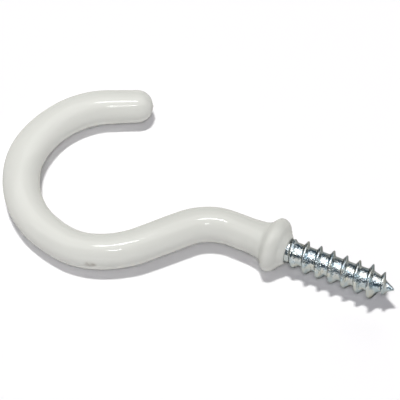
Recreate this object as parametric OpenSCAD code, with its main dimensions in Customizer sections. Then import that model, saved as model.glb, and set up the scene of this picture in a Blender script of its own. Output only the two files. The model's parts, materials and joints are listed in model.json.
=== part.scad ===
// Screw hook, vinyl-dipped.
// A steel wire is upset into a flange, threaded at one end, bent into a hook at the other,
// zinc plated, and dipped in white vinyl up to the flange's screw side.
// The hook lies on its side at rest: the collar's rim and the far side of the bowl touch z = 0.
// +X runs along the screw towards its point, +Y is the side that the hook's tip is on.

/* [Wire and coat] */
// Diameter of the steel wire
wire_d = 3.3; // [2.6:0.1:3.8]
// Thickness of the vinyl over the wire
coat_t = 0.6; // [0.4:0.05:1]

/* [Hook] */
// Straight neck, from the collar's face to the first bend
neck_len = 7.2; // [5:0.1:12]
// Angle by which the neck leans away from the screw's axis
neck_lean = 1.8; // [0:0.1:4]
// Radius of the first bend, at the middle of the wire
neck_bend_r = 7.6; // [5:0.1:12]
// Angle of the first bend
neck_turn = 50.4; // [40:0.1:60]
// Straight slope between the two bends
slope_len = 5.8; // [3:0.1:10]
// Radius of the bowl, at the middle of the wire
bowl_r = 11.5; // [8:0.1:16]
// Angle through which the bowl turns back
bowl_turn = 203.6; // [180:0.1:215]
// Straight end beyond the bowl, to the tip of the coat
tip_len = 5.7; // [3.5:0.1:9]
// Radius of the rounded edge of the coated tip
tip_round = 1.6; // [0.8:0.1:1.8]

/* [Collar] */
// Diameter of the collar's rim
collar_d = 6.9; // [6.5:0.1:9]
// Distance from the collar's face back to its rim
rim_back = 1.33; // [1.2:0.01:1.8]
// Radius of the hollow flare between the neck and the rim
flare_r = 3.5; // [3:0.1:4.5]
// Width of the straight land round the rim, before the dome that closes down to the face
rim_land = 0.26; // [0.1:0.02:0.5]
// Thickness of the steel flange inside the collar
flange_t = 1; // [0.6:0.1:1.2]

/* [Screw] */
// Length of the screw, from the collar's face to its point
screw_len = 15.4; // [12:0.1:22]
// Diameter over the thread's crests
thread_d = 4; // [3.6:0.1:4.8]
// Diameter of the core at the thread's root
core_d = 2.8; // [2.4:0.1:3.2]
// Distance from one crest to the next
pitch = 1.8; // [1.4:0.05:2.2]
// Length of the tapered point
point_len = 3.4; // [2.6:0.1:5]
// Direction in which the thread starts, measured round the screw
thread_phase = 80; // [0:5:355]

/* [Hidden] */
$fn = 64;

// Vinyl that the coat leaves clear of the thread, and its small skirt on the shank
thread_clear = 0.05;
skirt_t = 0.12;
skirt_len = 0.5;
shank_end = skirt_len + 0.1;
// Vinyl beyond the cut end of the wire, between the flange and the rim, and between
// the flange's back edge and the flare
tip_cover = 0.7;
rim_cover = 0.8;
flange_cover = 0.28;
// The flare starts this far under the neck's skin, which leaves a faint crease
flare_sink = 0.16;
// Bends are this much fuller than the straights, which run a little way into them
bend_swell = 0.005;
lap = 0.05;

wire_r = wire_d / 2;
coat_d = wire_d + 2 * coat_t;
coat_r = coat_d / 2;
collar_r = collar_d / 2;
flange_r = collar_r - rim_cover;
relief_r = thread_d / 2 + thread_clear;

// Route of the wire's middle line: directions, and the points where bends start and end
function along(a) = [cos(a), sin(a)];
function left_of(a) = [-sin(a), cos(a)];
neck_dir = 180 - neck_lean;
slope_dir = neck_dir + neck_turn;
tip_dir = slope_dir - bowl_turn;
neck_end = neck_len * along(neck_dir);
slope_start = neck_end + neck_bend_r * (left_of(neck_dir) - left_of(slope_dir));
slope_end = slope_start + slope_len * along(slope_dir);
bowl_mid = slope_end - bowl_r * left_of(slope_dir);
tip_start = bowl_mid + bowl_r * left_of(tip_dir);

// The flare, rim and dome in the collar's section, measured back from the face. The dome's
// round runs from the land to the face, and the flange's back edge keeps its cover of vinyl.
seat_r = relief_r + 0.4;
flare_mid_r = coat_r - flare_sink + flare_r;
flare_back = rim_back + sqrt(pow(flare_r, 2) - pow(flare_mid_r - collar_r, 2));
dome_back = rim_back - rim_land;
dome_mid = (pow(collar_r, 2) - pow(seat_r, 2) + pow(dome_back, 2)) / (2 * dome_back);
dome_r = norm([seat_r, dome_mid]);
flange_back = flare_back - sqrt(pow(flare_r, 2) - pow(flare_mid_r - flange_r - flange_cover, 2));

// Resting place: the tilt at which the rim and the bowl's far side touch the same plane
bend_skin_r = coat_r + bend_swell;
bowl_far = bowl_r - bowl_mid[0];
foot_span = bowl_far - rim_back;
rest_tilt = acos(bend_skin_r / norm([collar_r, foot_span])) - atan2(foot_span, collar_r);
rest_z = bowl_far * sin(rest_tilt) + bend_skin_r;
// Middle of the whole hook's outline, which is put over the origin
low_x = -bowl_far * cos(rest_tilt) - bend_skin_r;
high_x = screw_len * cos(rest_tilt);
low_y = bowl_mid[1] - bowl_r - bend_skin_r;
tip_edge = tip_start + (tip_len - tip_round) * along(tip_dir)
    + (coat_r - tip_round) * left_of(tip_dir);
high_y = tip_edge[1] + tip_round;

module at_rest() {
    translate([-(low_x + high_x) / 2, -(low_y + high_y) / 2, rest_z])
        rotate([0, -rest_tilt, 0]) children();
}

// A straight rod along +X
module rod(len, d) {
    rotate([0, 90, 0]) cylinder(h = len, d = d);
}

// A rod that leaves along +X and bends towards +Y
module bent_rod(r, turn, d) {
    translate([0, r, 0]) rotate([0, 0, -90])
        rotate_extrude(angle = turn) translate([r, 0]) circle(d = d + 2 * bend_swell);
}

// The coated tip: a rod with a rounded edge at its far end
module rounded_rod(len, d, edge) {
    rotate([0, 90, 0]) rotate_extrude() {
        square([d / 2, len - edge]);
        square([d / 2 - edge, len]);
        intersection() {
            translate([d / 2 - edge, len - edge]) circle(r = edge);
            square([d / 2, len]);
        }
    }
}

module place(point, direction) {
    translate([point[0], point[1], 0]) rotate([0, 0, direction]) children();
}

// The neck from inside the collar, both bends and the slope, in one diameter
module hook_route(d) {
    place(rim_back * along(neck_dir), neck_dir) rod(neck_len - rim_back + lap, d);
    place(neck_end, neck_dir) bent_rod(neck_bend_r, neck_turn, d);
    place(slope_start - lap * along(slope_dir), slope_dir) rod(slope_len + 2 * lap, d);
    place(slope_end, slope_dir) mirror([0, 1, 0]) bent_rod(bowl_r, bowl_turn, d);
}

// Everything of the steel that the vinyl covers
module covered_steel() {
    hook_route(wire_d);
    place(tip_start - lap * along(tip_dir), tip_dir) rod(lap + tip_len - tip_cover, wire_d);
    translate([-flange_back, 0, 0]) rod(flange_t, 2 * flange_r);
    translate([-rim_back, 0, 0]) rod(rim_back + shank_end, wire_d);
}

// Thread: one ribbon that winds round the core, a pitch wide, with five rows across it.
// Its first turn widens from nothing at a flat ring inside the shank, and its last turn
// narrows to nothing at the point, so that both ends close.
turn_steps = 32;
row_place = [0, 0.28, 0.47, 0.53, 0.72, 1];
row_height = [0, 0, 1, 1, 0, 0];
rows = len(row_place) - 1;
thread_start = 0.3;
point_r = 0.1;
steps_up = ceil((screw_len - point_r - thread_start) * turn_steps / pitch);
steps = steps_up + turn_steps;
shank_fade = 1.4;
taper_start = screw_len - point_len;

function limit(v) = max(0, min(1, v));
function ribbon_top(i) = min(thread_start + pitch * i / turn_steps, screw_len - point_r);
function ribbon_low(i) = i < turn_steps ? thread_start : ribbon_top(i - turn_steps);
function row_x(i, j) = ribbon_low(i) + (ribbon_top(i) - ribbon_low(i)) * row_place[j];
// The core swells to the shank at one end and tapers to the point at the other
function core_r(x) =
    core_d / 2 + (wire_r - 0.05 - core_d / 2) * limit(1 - (x - thread_start) / shank_fade)
    - (core_d / 2 - point_r) * pow(limit((x - taper_start) / point_len), 1.4);
// The ridge rises over its first turn and a third, and fades out at the point
function ridge(i, x) =
    (thread_d - core_d) / 2 * limit((i / turn_steps - 0.4) / 1.3)
    * (1 - pow(limit((x - taper_start) / point_len), 6));
function thread_point(x, r, i) =
    let (a = thread_phase + 360 * i / turn_steps) [x, r * cos(a), r * sin(a)];
function spot(i, j) =
    j == 0 ? (i < turn_steps ? i : spot(i - turn_steps, rows))
    : i == 0 ? 0
    : i == steps ? spot(steps - turn_steps, rows)
    : turn_steps + (i - 1) * rows + j - 1;

module threaded_end() {
    ring = [for (i = [0:turn_steps - 1]) thread_point(thread_start, core_r(thread_start), i)];
    ribbon = [for (i = [1:steps - 1], j = [1:rows])
        let (x = row_x(i, j)) thread_point(x, core_r(x) + ridge(i, x) * row_height[j], i)];
    start_mid = len(ring) + len(ribbon);
    skin = [for (i = [0:steps - 1], j = [0:rows - 1], half = [0, 1])
        let (face = half == 0 ? [spot(i, j), spot(i + 1, j), spot(i + 1, j + 1)]
                              : [spot(i, j), spot(i + 1, j + 1), spot(i, j + 1)])
        if (face[0] != face[1] && face[1] != face[2] && face[2] != face[0]) face];
    start_cap = [for (i = [0:turn_steps - 1]) [start_mid, (i + 1) % turn_steps, i]];
    point_cap = [for (i = [steps_up:steps - 1]) [spot(i, rows), spot(i + 1, rows), start_mid + 1]];
    polyhedron(
        points = concat(ring, ribbon, [[thread_start, 0, 0], [screw_len, 0, 0]]),
        faces = [for (f = concat(skin, start_cap, point_cap)) [f[2], f[1], f[0]]]);
}

// The collar's section, turned round the screw's axis: flare, rim, dome, flat face
module collar() {
    rotate([0, 90, 0]) rotate_extrude() difference() {
        intersection() {
            translate([0, -flare_back]) square([collar_r, flare_back]);
            translate([0, -dome_mid]) circle(r = dome_r);
        }
        translate([flare_mid_r, -flare_back]) circle(r = flare_r);
    }
}

module steel_hook() {
    color([0.72, 0.75, 0.77]) at_rest() {
        covered_steel();
        threaded_end();
    }
}

module plastic_coat() {
    color([0.87, 0.87, 0.85]) at_rest() difference() {
        union() {
            hook_route(coat_d);
            place(tip_start - lap * along(tip_dir), tip_dir)
                rounded_rod(lap + tip_len, coat_d, tip_round);
            collar();
            rotate([0, 90, 0]) cylinder(h = skirt_len, r1 = relief_r, r2 = wire_r + skirt_t);
        }
        covered_steel();
    }
}

steel_hook();
plastic_coat();
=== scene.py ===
import json
import math

import bpy
from mathutils import Matrix, Vector


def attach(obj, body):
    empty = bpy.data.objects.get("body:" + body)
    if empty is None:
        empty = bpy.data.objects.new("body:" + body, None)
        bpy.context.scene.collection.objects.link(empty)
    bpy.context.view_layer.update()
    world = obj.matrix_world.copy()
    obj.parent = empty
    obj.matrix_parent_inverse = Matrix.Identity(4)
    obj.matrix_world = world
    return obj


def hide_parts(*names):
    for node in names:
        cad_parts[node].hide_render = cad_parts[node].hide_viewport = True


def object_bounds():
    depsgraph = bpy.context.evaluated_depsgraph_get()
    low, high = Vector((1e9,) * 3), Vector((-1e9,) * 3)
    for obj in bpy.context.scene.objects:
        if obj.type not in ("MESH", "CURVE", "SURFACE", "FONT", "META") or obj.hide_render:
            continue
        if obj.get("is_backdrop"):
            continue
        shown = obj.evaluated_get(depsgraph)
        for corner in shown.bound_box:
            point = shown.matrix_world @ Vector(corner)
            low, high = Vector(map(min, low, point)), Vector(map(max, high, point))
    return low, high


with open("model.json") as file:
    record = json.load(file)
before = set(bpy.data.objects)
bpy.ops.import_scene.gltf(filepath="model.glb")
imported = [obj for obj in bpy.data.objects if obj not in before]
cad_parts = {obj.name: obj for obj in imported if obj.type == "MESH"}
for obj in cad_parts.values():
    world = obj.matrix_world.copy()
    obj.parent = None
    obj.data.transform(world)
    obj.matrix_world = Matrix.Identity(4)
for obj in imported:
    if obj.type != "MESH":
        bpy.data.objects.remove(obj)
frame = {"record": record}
cad_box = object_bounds()

# Sizes are in millimetres and angles in degrees, until a mesh, a tree or a lamp gets them.
MM = 0.001

# The wire's route, as in the part's construction: lengths, bend radii and turns.
WIRE_R = 1.65
NECK_LEN, NECK_LEAN = 7.2, 1.8
NECK_BEND_R, NECK_TURN = 7.6, 50.4
SLOPE_LEN = 5.8
BOWL_R, BOWL_TURN = 11.5, 203.6
TIP_LEN = 5.7
ROUTE_STEP = 0.3

# The route's rings stop this far short of the cap and of the wire's cut end.
RING_GAP = 0.05

# The bends aren't true arcs, because the wire sprang back a little as it left the former: how far it
# stands to the left of its heading at distances along the route from the collar's face.
SPRING_BACK = [(0, 0), (14, 0.1), (22, 0.08), (28, 0.26), (33, 0.03), (44, -0.08), (51.5, -0.27),
               (63.3, 0)]

# Diameter of the dipped skin at distances along the route. The hook hung from its screw while it
# dripped, so the far side of the bowl has the thickest skin.
SKIN = [(0, 4.5), (7, 4.45), (10, 4.6), (17, 4.7), (30, 4.6), (46, 4.95), (54, 4.7), (67, 4.3)]
PLAIN_SKIN = 4.5
RIPPLE_DEPTH, RIPPLE_WIDTH = 0.03, 6
COAT_SIDES = 96

# The skin closes over the tip as a full round cap with a faint crown. The wire's end is under it.
CAP_LEN, CAP_STEPS, CAP_FULLNESS = 2.1, 12, 0.9
CROWN, CROWN_SHARE = 0.1, 0.08
TIP_COVER = 0.7

# Collar, as (distance back from its face, radius): a lip on the shank, a full dome, the rim and the
# flare down to the neck.
COLLAR = [(-0.66, 1.7), (-0.45, 2.0), (0, 2.5), (0.4, 3.05), (0.9, 3.4), (1.35, 3.5), (1.75, 3.4),
          (2.15, 3.0), (2.55, 2.6), (3.1, 2.4), (4.4, 2.25)]
COLLAR_STEP = 0.1

# The vinyl gathered unevenly on the collar as it set. At distances back from the face: how far it
# stands aside of the wire and above it, how much wider it is than high on each side, and how far its
# rings slant, as the shift of their +Y side along the screw.
ASIDE = [(-0.66, 0), (0, 0.15), (1.5, 0.02), (8, 0)]
ABOVE = [(-0.66, 0), (1, 0.07), (2.2, 0.07), (8, 0)]
WIDER = [(-0.3, 0), (0.9, 0.15), (1.9, 0.15), (3.4, 0)]
SLANT = [(-0.66, 0), (0.2, -0.1), (2.2, -0.1), (4.2, 0)]

# The steel flange inside the collar.
FLANGE_R, FLANGE_BACK, FLANGE_T = 2.65, 1.825, 1.0
SHARP_EDGE = 0.001

# Screw: a 4.0 mm wood-screw thread, a little over size as plated, with a gimlet point.
SHANK_END, SHANK_R, SHANK_FADE, SHOULDER = 0.6, 1.6, 1.4, 0.05
SCREW_LEN, THREAD_R, CORE_R, PITCH = 15.4, 2.05, 1.43, 1.8
THREAD_START, THREAD_PHASE = 0.3, 80
POINT_LEN, POINT_R, POINT_FULLNESS = 3.4, 0.1, 1.4
THREAD_STEPS, THREAD_ROWS, ROW_CROWDING = 72, 29, 1.4

# The thread grows to its full height between these turns, and fades out between these shares of the
# point, which ends as a plain cone.
FIRST_TURN, FULL_TURN = 0.4, 1.7
FADE_FROM, FADE_TO = 0.6, 0.8

# Half widths of a crest at its foot and at its top, as shares of the pitch. On one side of the screw,
# the foot that faces the point is wider by the blunt foot, as the dies left it.
FOOT, CREST_TOP, BLUNT_FOOT, BLUNT_SIDE = 0.24, 0.025, 0.2, 214

# The last crest before the point stands highest, where the blank was fed in between the dies.
LAST_CREST_BACK, LAST_CREST_WIDTH, LAST_CREST_EXTRA = 2.75, 1.1, 0.42

# Small dents in the rolled surface, which begin a little past the thread's start.
DENT_DEPTH, DENT_WIDTH, DENT_FADE = 0.03, 0.6, 0.5

# The smudge: its place round the bowl's middle, and its heading and size.
SMUDGE_ANGLE, SMUDGE_OUT, SMUDGE_UP = -73.8, 14.0, 0.56
SMUDGE_HEADING, SMUDGE_SIZE = 18, (1.15, 0.9, 0.7)


# ---------------------------------------------------------------- helpers

def mount(name):
    return next(m for m in frame["record"]["mounts"] if m["name"] == name)


def hook_to_world():
    """The hook's own frame, with its origin at the collar's face and +X along the screw."""
    thread = mount("thread")
    along = Vector(thread["axis"])
    side = Vector((0, 1, 0))
    place = Matrix((along, side, along.cross(side))).transposed().to_4x4()
    place.translation = Vector(thread["pos_m"]) - along * SHANK_END * MM
    return place


def colour(hex_text):
    """An sRGB hex colour as linear RGBA."""
    parts = [int(hex_text[i:i + 2], 16) / 255 for i in (1, 3, 5)]
    return (*(p / 12.92 if p <= 0.04045 else ((p + 0.055) / 1.055) ** 2.4 for p in parts), 1.0)


def stand(name, data):
    """A new object in the scene."""
    thing = bpy.data.objects.new(name, data)
    bpy.context.scene.collection.objects.link(thing)
    return thing


def eased(pairs, at):
    """A smooth value between the nearest two of the given (place, value) pairs."""
    for (a, low), (b, high) in zip(pairs, pairs[1:]):
        if at <= b:
            t = max(0, (at - a) / (b - a))
            return low + (high - low) * t * t * (3 - 2 * t)
    return pairs[-1][1]


def smooth_through(points, steps=8):
    """A smooth outline that passes through every given point."""
    before = tuple(2 * a - b for a, b in zip(points[0], points[1]))
    after = tuple(2 * a - b for a, b in zip(points[-1], points[-2]))
    row = [before, *points, after]
    out = []
    for p, q, r, s in zip(row, row[1:], row[2:], row[3:]):
        for k in range(steps):
            t = k / steps
            out.append(tuple(0.5 * (2 * b + (c - a) * t + (2 * a - 5 * b + 4 * c - d) * t ** 2
                                    + (3 * b - a - 3 * c + d) * t ** 3) for a, b, c, d in zip(p, q, r, s)))
    return out + [points[-1]]


def resampled(points, step):
    """The same outline with points at equal distances."""
    spans = [math.dist(a, b) for a, b in zip(points, points[1:])]
    count = max(2, round(sum(spans) / step))
    out, k, passed = [], 0, 0
    for n in range(count + 1):
        goal = sum(spans) * n / count
        while k < len(spans) - 1 and passed + spans[k] < goal:
            passed += spans[k]
            k += 1
        t = min(1, (goal - passed) / max(spans[k], 1e-9))
        out.append(tuple(a + (b - a) * t for a, b in zip(points[k], points[k + 1])))
    return out


# ---------------------------------------------------------------- nodes

def result(value):
    """The socket that carries the result of a node or a Value, or the plain number itself."""
    if isinstance(value, Value):
        return value.socket
    if isinstance(value, bpy.types.Node):
        return next(socket for socket in value.outputs if socket.enabled)
    return value


def fill(node, *values, **named):
    """Sets up a node. Values fill its inputs in order, keywords with a capital fill an input by name,
    and the other keywords are its settings. What comes from another node is linked."""
    for name, value in named.items():
        if name[0].islower():
            setattr(node, name, value)
    fills = list(zip([socket for socket in node.inputs if socket.enabled], values))
    for name, value in named.items():
        if name[0].isupper():
            fills.append((node.inputs[name.replace("_", " ")], value))
    for socket, value in fills:
        source = result(value)
        if isinstance(source, bpy.types.NodeSocket):
            node.id_data.links.new(source, socket)
        else:
            socket.default_value = source
    return node


def add(tree, kind, *values, **named):
    """Adds one node to a tree and fills it."""
    return fill(tree.nodes.new(kind), *values, **named)


class Value:
    """A value in a node tree. Each sum on it adds a node, so that a formula reads as one."""

    def __init__(self, source):
        self.socket = result(source)

    def of(self, operation, *values):
        """The result of an operation on the given values."""
        return Value(add(self.socket.id_data, "ShaderNodeMath", *values, operation=operation))

    def to(self, operation, *others):
        """The result of an operation on this value and then the others."""
        return self.of(operation, self, *others)

    def limited(self, low=0.0, high=1.0):
        """This value, kept between two others."""
        return Value(add(self.socket.id_data, "ShaderNodeClamp", self, low, high))

    def __add__(self, other):
        return self.to("ADD", other)

    def __sub__(self, other):
        return self.to("SUBTRACT", other)

    def __rsub__(self, other):
        return self.of("SUBTRACT", other, self)

    def __mul__(self, other):
        return self.to("MULTIPLY", other)

    def __truediv__(self, other):
        return self.to("DIVIDE", other)

    def __rtruediv__(self, other):
        return self.of("DIVIDE", other, self)

    def __pow__(self, other):
        return self.to("POWER", other)

    def __abs__(self):
        return self.to("ABSOLUTE")

    def __round__(self):
        return self.to("ROUND")

    def __ceil__(self):
        return self.to("CEIL")


def new_tree(name, values):
    """A geometry tree with an input for each named value, and those inputs with its geometry."""
    kinds = {int: "Int", float: "Float", bpy.types.Material: "Material"}
    tree = bpy.data.node_groups.new(name, "GeometryNodeTree")
    sockets = tree.interface
    sockets.new_socket("Geometry", in_out="OUTPUT", socket_type="NodeSocketGeometry")
    sockets.new_socket("Geometry", in_out="INPUT", socket_type="NodeSocketGeometry")
    for label, value in values.items():
        sockets.new_socket(label, in_out="INPUT", socket_type="NodeSocket" + kinds[type(value)])
    given = tree.nodes.new("NodeGroupInput")
    return tree, {label: Value(given.outputs[label]) for label in ("Geometry", *values)}


def finish_tree(tree, geometry, material):
    """The end of every tree: smooth, real geometry with its material."""
    smooth = add(tree, "GeometryNodeSetShadeSmooth", Geometry=geometry)
    real = add(tree, "GeometryNodeRealizeInstances", Geometry=smooth)
    done = add(tree, "GeometryNodeSetMaterial", Geometry=real, Material=material)
    add(tree, "NodeGroupOutput", done)
    return tree


def grow(name, mesh, tree, values):
    """Runs a geometry tree on a mesh and gives the result as a new plain object."""
    seed = stand(name + "_seed", mesh)
    modifier = seed.modifiers.new("grow", "NODES")
    modifier.node_group = tree
    for item in tree.interface.items_tree:
        if item.in_out == "INPUT" and item.name in values:
            modifier[item.identifier] = values[item.name]
    bpy.context.view_layer.update()
    evaluated = seed.evaluated_get(bpy.context.evaluated_depsgraph_get())
    grown = bpy.data.meshes.new_from_object(evaluated)
    grown.name = name
    bpy.data.objects.remove(seed)
    return stand(name, grown)


# ---------------------------------------------------------------- route and rings

def walk_route():
    """Stations along the middle of the wire, from the collar's face to the tip. Each one is the
    distance gone, the place and the heading in radians."""
    legs = [(NECK_LEN, 0), (math.radians(NECK_TURN) * NECK_BEND_R, NECK_TURN), (SLOPE_LEN, 0),
            (math.radians(BOWL_TURN) * BOWL_R, -BOWL_TURN), (TIP_LEN, 0)]
    place, heading, gone = Vector((0, 0)), math.radians(180 - NECK_LEAN), 0
    stations = [(0, place.copy(), heading)]
    for length, turn in legs:
        count = math.ceil(length / ROUTE_STEP)
        half_turn = math.radians(turn) / count / 2
        chord = length / count * (math.sin(half_turn) / half_turn if turn else 1)
        for _ in range(count):
            heading += half_turn
            place = place + chord * Vector((math.cos(heading), math.sin(heading)))
            heading += half_turn
            gone += length / count
            left = eased(SPRING_BACK, gone) * Vector((-math.sin(heading), math.cos(heading)))
            stations.append((gone, place + left, heading))
    return stations


def from_tip(stations, ahead):
    """A place on the wire's line at a distance ahead of its tip, in the hook's frame."""
    _, end, heading = stations[-1]
    return (end.x + ahead * math.cos(heading), end.y + ahead * math.sin(heading), 0)


def coat_rings(stations):
    """Rings of the vinyl's outer skin: (place in the hook's frame, radius)."""
    rings = []
    for back, radius in resampled(smooth_through(COLLAR), COLLAR_STEP):
        lean = max(0, back) * math.tan(math.radians(NECK_LEAN))
        rings.append(((-back, lean, 0), radius))
    collar_end = COLLAR[-1][0] + COLLAR_STEP
    cap_start = stations[-1][0] - CAP_LEN
    for gone, place, _ in stations:
        if collar_end < gone <= cap_start - RING_GAP:
            radius = eased(SKIN, gone) / 2
            lift = max(0, radius - PLAIN_SKIN / 2)
            rings.append(((place.x, place.y, lift), radius))
    full = eased(SKIN, cap_start) / 2
    for k in range(CAP_STEPS + 1):
        angle = math.pi / 2 * k / CAP_STEPS
        radius = full * max(CROWN_SHARE, math.cos(angle)) ** CAP_FULLNESS
        rings.append((from_tip(stations, CAP_LEN * (math.sin(angle) - 1)), radius))
    flat = rings[-1][1]
    for share in (0.5, 0):
        rings.append((from_tip(stations, CROWN * (1 - share ** 2)), flat * share))
    return rings


def wire_rings(stations, first):
    """Rings of the wire and its flange under the vinyl, from the given first ring to the wire's end."""
    front = -(FLANGE_BACK - FLANGE_T)
    rings = first + [((front, 0, 0), WIRE_R), ((front - SHARP_EDGE, 0, 0), FLANGE_R),
                     ((-FLANGE_BACK, 0, 0), FLANGE_R), ((-FLANGE_BACK - SHARP_EDGE, 0, 0), WIRE_R)]
    wire_end = stations[-1][0] - TIP_COVER
    for gone, place, _ in stations:
        if FLANGE_BACK + ROUTE_STEP < gone < wire_end - RING_GAP:
            rings.append(((place.x, place.y, 0), WIRE_R))
    cut = from_tip(stations, -TIP_COVER)
    return rings + [(cut, WIRE_R), (cut, 0)]


def ring_lines(name, lines):
    """A mesh of loose lines: each point is a ring's middle, with the ring's radius and whether it is
    a ring of a bore."""
    mesh = bpy.data.meshes.new(name)
    points, edges, radii, bores = [], [], [], []
    for rings, bore in lines:
        edges += [(len(points) + k, len(points) + k + 1) for k in range(len(rings) - 1)]
        points += [tuple(v * MM for v in place) for place, _ in rings]
        radii += [radius * MM for _, radius in rings]
        bores += [bore] * len(rings)
    mesh.from_pydata(points, edges, [])
    for label, values in (("ring radius", radii), ("bore", bores)):
        mesh.attributes.new(label, "FLOAT", "POINT").data.foreach_set("value", values)
    return mesh


def gather_collar(mesh):
    """Gives each ring of the vinyl its uneven gathering at the collar."""
    backs = [-vertex.co.x / MM for vertex in mesh.vertices]
    outer = [1 - bore.value for bore in mesh.attributes["bore"].data]
    for label, pairs in (("aside", ASIDE), ("above", ABOVE), ("wider", WIDER), ("slant", SLANT)):
        values = [share * eased(pairs, back) * MM for share, back in zip(outer, backs)]
        mesh.attributes.new(label, "FLOAT", "POINT").data.foreach_set("value", values)


# ---------------------------------------------------------------- geometry trees

def skin_through_rings(tree, lines, sides):
    """A round skin through every ring of the lines, with the bores turned inside out."""
    radius = add(tree, "GeometryNodeInputNamedAttribute", data_type="FLOAT", Name="ring radius")
    bore = add(tree, "GeometryNodeInputNamedAttribute", data_type="FLOAT", Name="bore")
    curve = add(tree, "GeometryNodeMeshToCurve", Mesh=lines)
    level = add(tree, "GeometryNodeSetCurveNormal", mode="Z_UP", Curve=curve)
    circle = add(tree, "GeometryNodeCurvePrimitiveCircle", Resolution=sides, Radius=1.0)
    skin = add(tree, "GeometryNodeCurveToMesh", Curve=level, Profile_Curve=circle, Scale=radius)
    inside = Value(bore).to("GREATER_THAN", 0.5)
    return add(tree, "GeometryNodeFlipFaces", Mesh=skin, Selection=inside)


def welded(tree, geometry):
    """Rings that share their places become one, so that the skin closes."""
    weld_gap = 0.0002 * MM
    return add(tree, "GeometryNodeMergeByDistance", Geometry=geometry, Distance=weld_gap)


def gathered(tree, geometry):
    """Moves the vinyl aside and up, and widens it, as its rings ask."""
    aside, above, wider, slant = (
        add(tree, "GeometryNodeInputNamedAttribute", data_type="FLOAT", Name=label)
        for label in ("aside", "above", "wider", "slant"))
    normal = add(tree, "ShaderNodeSeparateXYZ", add(tree, "GeometryNodeInputNormal"))
    sideways = Value(normal.outputs["Y"])
    offset = add(tree, "ShaderNodeCombineXYZ", X=sideways * slant, Y=sideways * wider + aside, Z=above)
    return add(tree, "GeometryNodeSetPosition", Geometry=geometry, Offset=offset)


def rippled(tree, geometry, depth, width, share):
    """Moves each point along its normal by smooth noise, up to depth where share is 1."""
    noise = add(tree, "ShaderNodeTexNoise", Scale=1.0 / width, Detail=1.0)
    swing = (Value(noise) - 0.5) * 2.0
    offset = add(tree, "ShaderNodeVectorMath", add(tree, "GeometryNodeInputNormal"), operation="SCALE",
                 Scale=swing * depth * share)
    return add(tree, "GeometryNodeSetPosition", Geometry=geometry, Offset=offset)


def dipped_coat_tree(values):
    tree, size = new_tree("dipped coat", values)
    skin = welded(tree, skin_through_rings(tree, size["Geometry"], size["Sides"]))
    bore = add(tree, "GeometryNodeInputNamedAttribute", data_type="FLOAT", Name="bore")
    outer = 1.0 - Value(bore)
    wavy = rippled(tree, gathered(tree, skin), size["Ripple depth"], size["Ripple width"], outer)
    return finish_tree(tree, wavy, size["Material"])


def thread_ribbon(tree, size):
    """A ribbon a pitch wide that winds round the screw's core. Its first turn opens from a ring
    round the shank, and its last turn closes on the point, so that both of its ends are shut."""
    start, pitch, length = size["Thread start"], size["Pitch"], size["Screw length"]
    core_r, point_r = size["Core radius"], size["Point radius"]
    end = length - point_r
    columns = math.ceil((end - start) / pitch * size["Steps"]) + size["Steps"]
    grid = add(tree, "GeometryNodeMeshGrid", Size_X=1.0, Size_Y=1.0, Vertices_X=columns + 1.0,
               Vertices_Y=size["Rows"])
    spot = add(tree, "ShaderNodeSeparateXYZ", add(tree, "GeometryNodeInputPosition"))
    turn = round((Value(spot.outputs["X"]) + 0.5) * columns) / size["Steps"]
    # Rows lie closer together at the crest, which is the middle of the ribbon
    off_crest = Value(spot.outputs["Y"]) * 2.0
    across = off_crest.to("SIGN") * abs(off_crest) ** size["Row crowding"] * 0.5 + 0.5

    front = (turn * pitch + start).limited(start, end)
    back = ((turn - 1.0) * pitch + start).limited(start, end)
    x = (front - back) * across + back

    on_point = ((x - (length - size["Point length"])) / size["Point length"]).limited()
    on_shank = (1.0 - (x - start) / size["Shank fade"]).limited()
    swell = (size["Shank radius"] - core_r) * on_shank
    taper = (core_r - point_r) * on_point ** size["Point fullness"]
    core = core_r + swell - taper

    rise = ((turn - size["First turn"]) / (size["Full turn"] - size["First turn"])).limited()
    fade = add(tree, "ShaderNodeMapRange", interpolation_type="SMOOTHSTEP", Value=on_point,
               From_Min=size["Fade from"], From_Max=size["Fade to"], To_Min=1.0, To_Max=0.0)
    from_last = (x - (length - size["Last crest back"])) / size["Last crest width"]
    last = (from_last * from_last * -1.0).to("EXPONENT") * size["Last crest extra"] + 1.0
    height = (size["Crest radius"] - core_r) * last * rise * fade

    # The flanks rise from a small hollow at the root to a narrow, slightly rounded crest, and the one
    # ahead has a wider foot on the blunt side
    angle = turn * (2 * math.pi) + size["Phase"]
    blunt = (angle - size["Blunt side"]).to("COSINE") * 0.5 + 0.5
    ahead = across.to("GREATER_THAN", 0.5)
    foot = ahead * (blunt * blunt * size["Blunt foot"]) + size["Foot"]
    flank = ((foot - abs(across - 0.5)) / (foot - size["Crest top"])).limited()
    form = add(tree, "ShaderNodeFloatCurve", Value=flank)
    line = form.mapping.curves[0]
    line.points[0].location, line.points[1].location = (0, 0), (1, 1)
    for place in ((0.12, 0.03), (0.45, 0.4), (0.9, 0.95)):
        line.points.new(*place)
    form.mapping.update()
    radius = height * form + core

    place = add(tree, "ShaderNodeCombineXYZ", X=x, Y=radius * angle.to("COSINE"), Z=radius * angle.to("SINE"))
    return add(tree, "GeometryNodeSetPosition", Geometry=grid, Position=place)


def steel_tree(values):
    tree, size = new_tree("threaded steel wire", values)
    joined = add(tree, "GeometryNodeJoinGeometry", skin_through_rings(tree, size["Geometry"], size["Steps"]))
    whole = welded(tree, fill(joined, thread_ribbon(tree, size)))
    spot = add(tree, "ShaderNodeSeparateXYZ", add(tree, "GeometryNodeInputPosition"))
    past_start = Value(spot.outputs["X"]) - size["Thread start"] * 2.0
    clear = (past_start / size["Dent fade"]).limited()
    dented = rippled(tree, whole, size["Dent depth"], size["Dent width"], clear)
    return finish_tree(tree, dented, size["Material"])


# ---------------------------------------------------------------- materials

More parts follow.
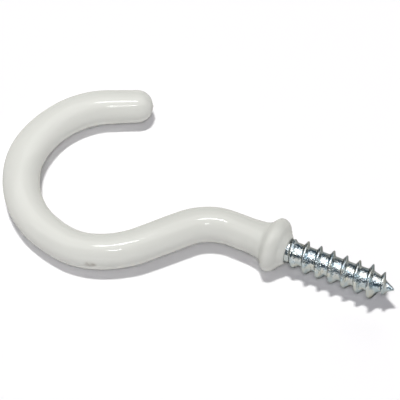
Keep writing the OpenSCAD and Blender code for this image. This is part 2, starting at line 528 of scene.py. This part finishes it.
def new_material(name):
    """A material, its tree and its shader."""
    material = bpy.data.materials.new(name)
    material.use_nodes = True
    tree = material.node_tree
    return material, tree, tree.nodes["Principled BSDF"]


def dipped_white_vinyl(smudge_at):
    """PVC plastisol, hot-dipped and fused in an oven: off-white, opaque, with a soft wet gloss, long
    shallow waves left by the dip, painted light that makes it lighter towards the bowl, and one handling
    smudge."""
    material, tree, shader = new_material("dipped white vinyl")
    where = add(tree, "ShaderNodeTexCoord").outputs["Object"]

    # Painted light: the colour grows lighter towards the bowl's far side and darker towards the screw, in
    # place of light on that side
    along = add(tree, "ShaderNodeSeparateXYZ", where)
    painted_light_bowl_side = add(tree, "ShaderNodeMapRange", Value=along, From_Min=-25 * MM, From_Max=12 * MM,
                To_Min=0.7, To_Max=0.0)
    clouds = add(tree, "ShaderNodeTexNoise", Vector=where, Scale=1 / (9 * MM), Detail=3.0)
    base = add(tree, "ShaderNodeMix", Value(clouds) * 0.3 + painted_light_bowl_side, colour("#D5D6D0"), colour("#E6E7E1"),
               data_type="RGBA")

    # The smudge is a long thin cloud, so its place is squeezed along the bend before it is measured.
    # It is broken up by specks, and darkest at one end.
    place = add(tree, "ShaderNodeMapping", vector_type="TEXTURE", Vector=where, Location=smudge_at,
                Rotation=(0, 0, math.radians(SMUDGE_HEADING)), Scale=[size * MM for size in SMUDGE_SIZE])
    reach = add(tree, "ShaderNodeVectorMath", place, operation="LENGTH")
    near = add(tree, "ShaderNodeMapRange", interpolation_type="SMOOTHSTEP", Value=reach,
               From_Min=1.0, From_Max=0.2, To_Min=0.0, To_Max=0.55)
    specks = add(tree, "ShaderNodeTexNoise", Vector=where, Scale=1 / (0.7 * MM), Detail=4.0, Roughness=0.6)
    broken = add(tree, "ShaderNodeMapRange", Value=specks, From_Min=0.35, From_Max=0.62,
                 To_Min=0.35, To_Max=1.0)
    dark_end = add(tree, "ShaderNodeVectorMath", place, (0.4, 0, 0), operation="DISTANCE")
    core = add(tree, "ShaderNodeMapRange", interpolation_type="SMOOTHSTEP", Value=dark_end,
               From_Min=0.45, From_Max=0.0, To_Min=0.0, To_Max=0.35)
    soiled = add(tree, "ShaderNodeMix", Value(near) * broken + core, base, colour("#8E8279"),
                 data_type="RGBA")

    film = add(tree, "ShaderNodeTexNoise", Vector=where, Scale=1 / (2.5 * MM), Detail=2.0)
    gloss = add(tree, "ShaderNodeMapRange", Value=film, From_Min=0.3, From_Max=0.7, To_Min=0.07, To_Max=0.11)
    waves = add(tree, "ShaderNodeTexNoise", Vector=where, Scale=1 / (1.6 * MM), Detail=2.0)
    bump = add(tree, "ShaderNodeBump", Strength=1.0, Distance=0.006 * MM, Height=waves)
    fill(shader, Base_Color=soiled, Roughness=gloss, Normal=bump, IOR=1.45)
    return material


def bright_zinc(screw_at, screw_turn):
    """Bright zinc with a clear blue passivation over a cold-rolled thread: mirror-like but lumpy, with
    faint blue and straw tints, and fine marks round the screw where the dies rolled it."""
    material, tree, shader = new_material("bright zinc plating")
    where = add(tree, "ShaderNodeTexCoord").outputs["Object"]

    tints = add(tree, "ShaderNodeTexNoise", Vector=where, Scale=1 / (0.9 * MM), Detail=2.0)
    ramp = add(tree, "ShaderNodeValToRGB", tints)
    stops = ramp.color_ramp.elements
    stops[0].position, stops[0].color = 0.32, colour("#CBDCE6")
    stops[1].position, stops[1].color = 0.70, colour("#EAEAE2")
    stops.new(0.5).color = colour("#E2E9EC")

    grain = add(tree, "ShaderNodeTexNoise", Vector=where, Scale=1 / (0.35 * MM), Detail=3.0)
    gloss = add(tree, "ShaderNodeMapRange", Value=grain, From_Min=0.3, From_Max=0.7, To_Min=0.08, To_Max=0.20)

    # Die marks and flakes run round the screw, so their noise is stretched across its axis
    heights = []
    for along, round_it in ((0.24, 1.2), (0.15, 0.4)):
        rolled = add(tree, "ShaderNodeMapping", vector_type="TEXTURE", Vector=where, Location=screw_at,
                     Rotation=screw_turn, Scale=(along * MM, round_it * MM, round_it * MM))
        heights.append(Value(add(tree, "ShaderNodeTexNoise", Vector=rolled, Scale=1.0, Detail=2.0)))
    marks, flakes = heights
    lumps = add(tree, "ShaderNodeTexNoise", Vector=where, Scale=1 / (0.3 * MM), Detail=3.0)
    bump = add(tree, "ShaderNodeBump", Strength=1.0, Distance=0.055 * MM,
               Height=flakes * 1.15 + (marks * 1.2 + lumps))
    # The dark edge tint is the lumps' own shade, where the metal is seen at a grazing angle
    fill(shader, Base_Color=ramp, Roughness=gloss, Normal=bump, Metallic=1.0,
         Specular_Tint=colour("#5A605E"))
    return material


# ---------------------------------------------------------------- pieces

def make_coat(stations, place, material):
    outer = coat_rings(stations)
    # The bore starts on the lip's own first ring, so that the skin closes there
    bore = wire_rings(stations, outer[:1] + [((0, 0, 0), WIRE_R)])
    lines = ring_lines("coat_rings", [(outer, 0.0), (bore, 1.0)])
    gather_collar(lines)
    values = {"Sides": COAT_SIDES, "Ripple depth": RIPPLE_DEPTH * MM, "Ripple width": RIPPLE_WIDTH * MM,
              "Material": material}
    coat = grow("vinyl_coat", lines, dipped_coat_tree(values), values)
    coat.data.transform(place)
    return coat


def make_steel(stations, place, material):
    point_share = 1 - POINT_R / POINT_LEN
    base_r = CORE_R - (CORE_R - POINT_R) * point_share ** POINT_FULLNESS
    point = [((SCREW_LEN, 0, 0), 0), ((SCREW_LEN - POINT_R, 0, 0), base_r)]
    shoulder = [((THREAD_START, 0, 0), SHANK_R), ((THREAD_START - SHOULDER, 0, 0), WIRE_R)]
    lines = ring_lines("steel_rings", [(point, 0.0), (wire_rings(stations, shoulder), 0.0)])
    values = {
        "Screw length": SCREW_LEN * MM, "Crest radius": THREAD_R * MM, "Core radius": CORE_R * MM,
        "Pitch": PITCH * MM, "Thread start": THREAD_START * MM, "Phase": math.radians(THREAD_PHASE),
        "Shank radius": SHANK_R * MM, "Shank fade": SHANK_FADE * MM, "Point length": POINT_LEN * MM,
        "Point radius": POINT_R * MM, "Point fullness": POINT_FULLNESS, "First turn": FIRST_TURN,
        "Full turn": FULL_TURN, "Fade from": FADE_FROM, "Fade to": FADE_TO, "Foot": FOOT,
        "Crest top": CREST_TOP, "Blunt foot": BLUNT_FOOT, "Blunt side": math.radians(BLUNT_SIDE),
        "Last crest back": LAST_CREST_BACK * MM, "Last crest width": LAST_CREST_WIDTH * MM,
        "Last crest extra": LAST_CREST_EXTRA, "Dent depth": DENT_DEPTH * MM, "Dent width": DENT_WIDTH * MM,
        "Dent fade": DENT_FADE * MM, "Steps": THREAD_STEPS, "Rows": THREAD_ROWS,
        "Row crowding": ROW_CROWDING, "Material": material}
    steel = grow("steel_wire_hook", lines, steel_tree(values), values)
    steel.data.transform(place)
    return steel


def smudge_place():
    """On the outside of the bowl, at an angle round its middle."""
    bowl = mount("bowl")
    middle = Vector(bowl["pos_m"]) + Vector(bowl["axis"]) * bowl["dims"]["r_mm"] * MM
    angle = math.radians(SMUDGE_ANGLE)
    return middle + Vector((SMUDGE_OUT * math.cos(angle), SMUDGE_OUT * math.sin(angle), SMUDGE_UP)) * MM


place = hook_to_world()
stations = walk_route()
coat = make_coat(stations, place, dipped_white_vinyl(smudge_place()))
steel = make_steel(stations, place, bright_zinc(place.translation, place.to_euler()))
for piece, node, slot in ((coat, "plastic_coat", "white_vinyl"), (steel, "steel_hook", "zinc_steel")):
    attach(piece, "root")
    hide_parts(node)


# ---------------------------------------------------------------- floor, light and camera

VIEW_AZIMUTH, VIEW_ELEVATION = 25.04, 56.42
VIEW_DISTANCE = 400
LENS_MM, SENSOR_MM = 275.6, 36.0
AIM_SHIFT = (-1.44, 1.99, -1.45)
FLOOR_HALF = 4000
LAMP_AWAY = 3000
CARD_AWAY = 450
# The front lamp's glint stands nearer than the dark card round it, whose flat facets would cut it.
GLINT_AWAY = 420

# The cards' colours, each with its strength.
DARK = (0.65, 0.9, 1.1, 0.08)
SOFTBOX = (1, 1, 1, 1.4)
KEY_GLINT = (1, 1, 1, 15)
FRONT_GLINT = (1, 1, 1, 18)

# The lamps' tints.
KEY_TINT = (1.0, 0.995, 0.975)
FRONT_TINT = (0.965, 0.95, 1.0)
TENT_TINT = (0.965, 0.96, 1)

turn = math.radians(VIEW_AZIMUTH)
toward = Vector((math.sin(turn), -math.cos(turn), 0))
right = Vector((math.cos(turn), math.sin(turn), 0))
up = Vector((0, 0, 1))


def over(angle, sideways=0.0):
    """Direction at an angle that starts at the horizon below the camera and passes overhead."""
    a, s = math.radians(angle), math.radians(sideways)
    return (toward * math.cos(a) + up * math.sin(a)) * math.cos(s) + right * math.sin(s)


def stage_sheet(name, made_of, corners, faces):
    """A sheet of the studio, with a material that holds nothing yet but its output."""
    mesh = bpy.data.meshes.new(name)
    mesh.from_pydata(corners, [], faces)
    material, tree, shader = new_material(made_of)
    tree.nodes.remove(shader)
    mesh.materials.append(material)
    sheet = stand(name, mesh)
    sheet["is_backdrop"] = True
    return sheet, tree, tree.nodes["Material Output"]


def make_floor():
    """White paper. Reflections see it greyer than the camera does, so that the hook's sides, which
    face it, stay darker than its top."""
    half = FLOOR_HALF * MM
    corners = [(-half, -half, 0), (half, -half, 0), (half, half, 0), (-half, half, 0)]
    _, tree, output = stage_sheet("floor", "white paper", corners, [(0, 1, 2, 3)])
    reflected = add(tree, "ShaderNodeLightPath").outputs["Is Glossy Ray"]
    tone = add(tree, "ShaderNodeMix", reflected, (0.99, 0.985, 1, 1), (0.60, 0.59, 0.55, 1), data_type="RGBA")
    fill(output, Surface=add(tree, "ShaderNodeBsdfDiffuse", Color=tone))


def make_card(name, low, high, left, right_end, tone, away=CARD_AWAY):
    """A curved card that only reflections see, between angles of over() up and across."""
    up_steps, side_steps = 12, 8
    corners = []
    for k in range(up_steps + 1):
        for j in range(side_steps + 1):
            across = left + (right_end - left) * j / side_steps
            corners.append(over(low + (high - low) * k / up_steps, across) * away * MM)
    wide = side_steps + 1
    faces = [(k * wide + j, k * wide + j + 1, (k + 1) * wide + j + 1, (k + 1) * wide + j)
             for k in range(up_steps) for j in range(side_steps)]
    card, tree, output = stage_sheet(name, name + " card", corners, faces)
    fill(output, Surface=add(tree, "ShaderNodeEmission", Color=(*tone[:3], 1), Strength=tone[3]))
    card.visible_camera = card.visible_diffuse = card.visible_shadow = False
    card.visible_transmission = card.visible_volume_scatter = False


def make_lamp(name, angle, sideways, wide_angle, deep_angle, radiance, tint):
    """A flat lamp that fills the given angles as seen from the hook. Its reflection is a card."""
    away = LAMP_AWAY * MM
    wide, deep = (2 * away * math.tan(math.radians(part) / 2) for part in (wide_angle, deep_angle))
    lamp = bpy.data.lights.new(name, "AREA")
    lamp.shape = "RECTANGLE"
    lamp.size, lamp.size_y = wide, deep
    lamp.energy = radiance * math.pi * wide * deep
    lamp.color = tint
    holder = stand(name, lamp)
    back = over(angle, sideways)
    side = (right - back * right.dot(back)).normalized()
    holder.matrix_world = Matrix((side, back.cross(side), back)).transposed().to_4x4()
    holder.location = back * away
    holder.visible_camera = holder.visible_glossy = False


def make_world():
    """White to the camera and to reflections. Its light is next to nothing, as the lamps give that."""
    world = bpy.data.worlds.new("studio")
    bpy.context.scene.world = world
    world.use_nodes = True
    tree = world.node_tree
    path = add(tree, "ShaderNodeLightPath")
    seen = Value(path.outputs["Is Camera Ray"]).to("MAXIMUM", path.outputs["Is Glossy Ray"])
    seen = seen.to("MAXIMUM", path.outputs["Is Transmission Ray"])
    sky = add(tree, "ShaderNodeMix", seen, (0.01, 0.01, 0.01, 1), (1, 1, 1, 1), data_type="RGBA")
    fill(tree.nodes["Background"], Color=sky, Strength=1.0)


def make_camera():
    data = bpy.data.cameras.new("camera")
    data.lens, data.sensor_width = LENS_MM, SENSOR_MM
    data.clip_start, data.clip_end = 0.01, 50
    camera = stand("camera", data)
    aim = (cad_box[0] + cad_box[1]) / 2 + Vector(AIM_SHIFT) * MM
    back = over(VIEW_ELEVATION)
    camera.rotation_mode = "QUATERNION"
    camera.rotation_quaternion = (-back).to_track_quat("-Z", "Y")
    camera.location = aim + back * VIEW_DISTANCE * MM
    bpy.context.scene.camera = camera


make_floor()

# What the gloss and the zinc reflect: the dark room round the light, its two softboxes with the gap
# between them, and the two lamps.
make_card("dark_room_behind", 124, 178, -75, 75, DARK)
make_card("dark_room_front", 13, 67, -75, 75, DARK)
make_card("softbox_low", 68, 89.5, -55, 55, SOFTBOX)
make_card("softbox_high", 98.5, 124, -55, 55, SOFTBOX)
make_card("key_glint", 90, 98, -10, 4, KEY_GLINT)
make_card("front_glint", 59.5, 63.5, -4, 2.5, FRONT_GLINT, away=GLINT_AWAY)

# What lights the hook and the floor. The key casts the shadow, and the tent's wide sides soften it.
make_lamp("key", 93, -4.75, 7, 5, 209, KEY_TINT)
make_lamp("front", 61.5, 0, 10, 8, 21, FRONT_TINT)
make_lamp("tent front", 25, 0, 40, 40, 0.39, TENT_TINT)
make_lamp("tent right", 30, 50, 40, 40, 0.79, TENT_TINT)
make_lamp("tent left", 80, -50, 40, 40, 0.54, TENT_TINT)
make_lamp("tent back", 145, 0, 40, 40, 0.78, TENT_TINT)
make_world()
make_camera()
bpy.context.scene.view_settings.view_transform = "Standard"

{"cad": [list(c) for c in cad_box], "visual": [list(c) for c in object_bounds()]}
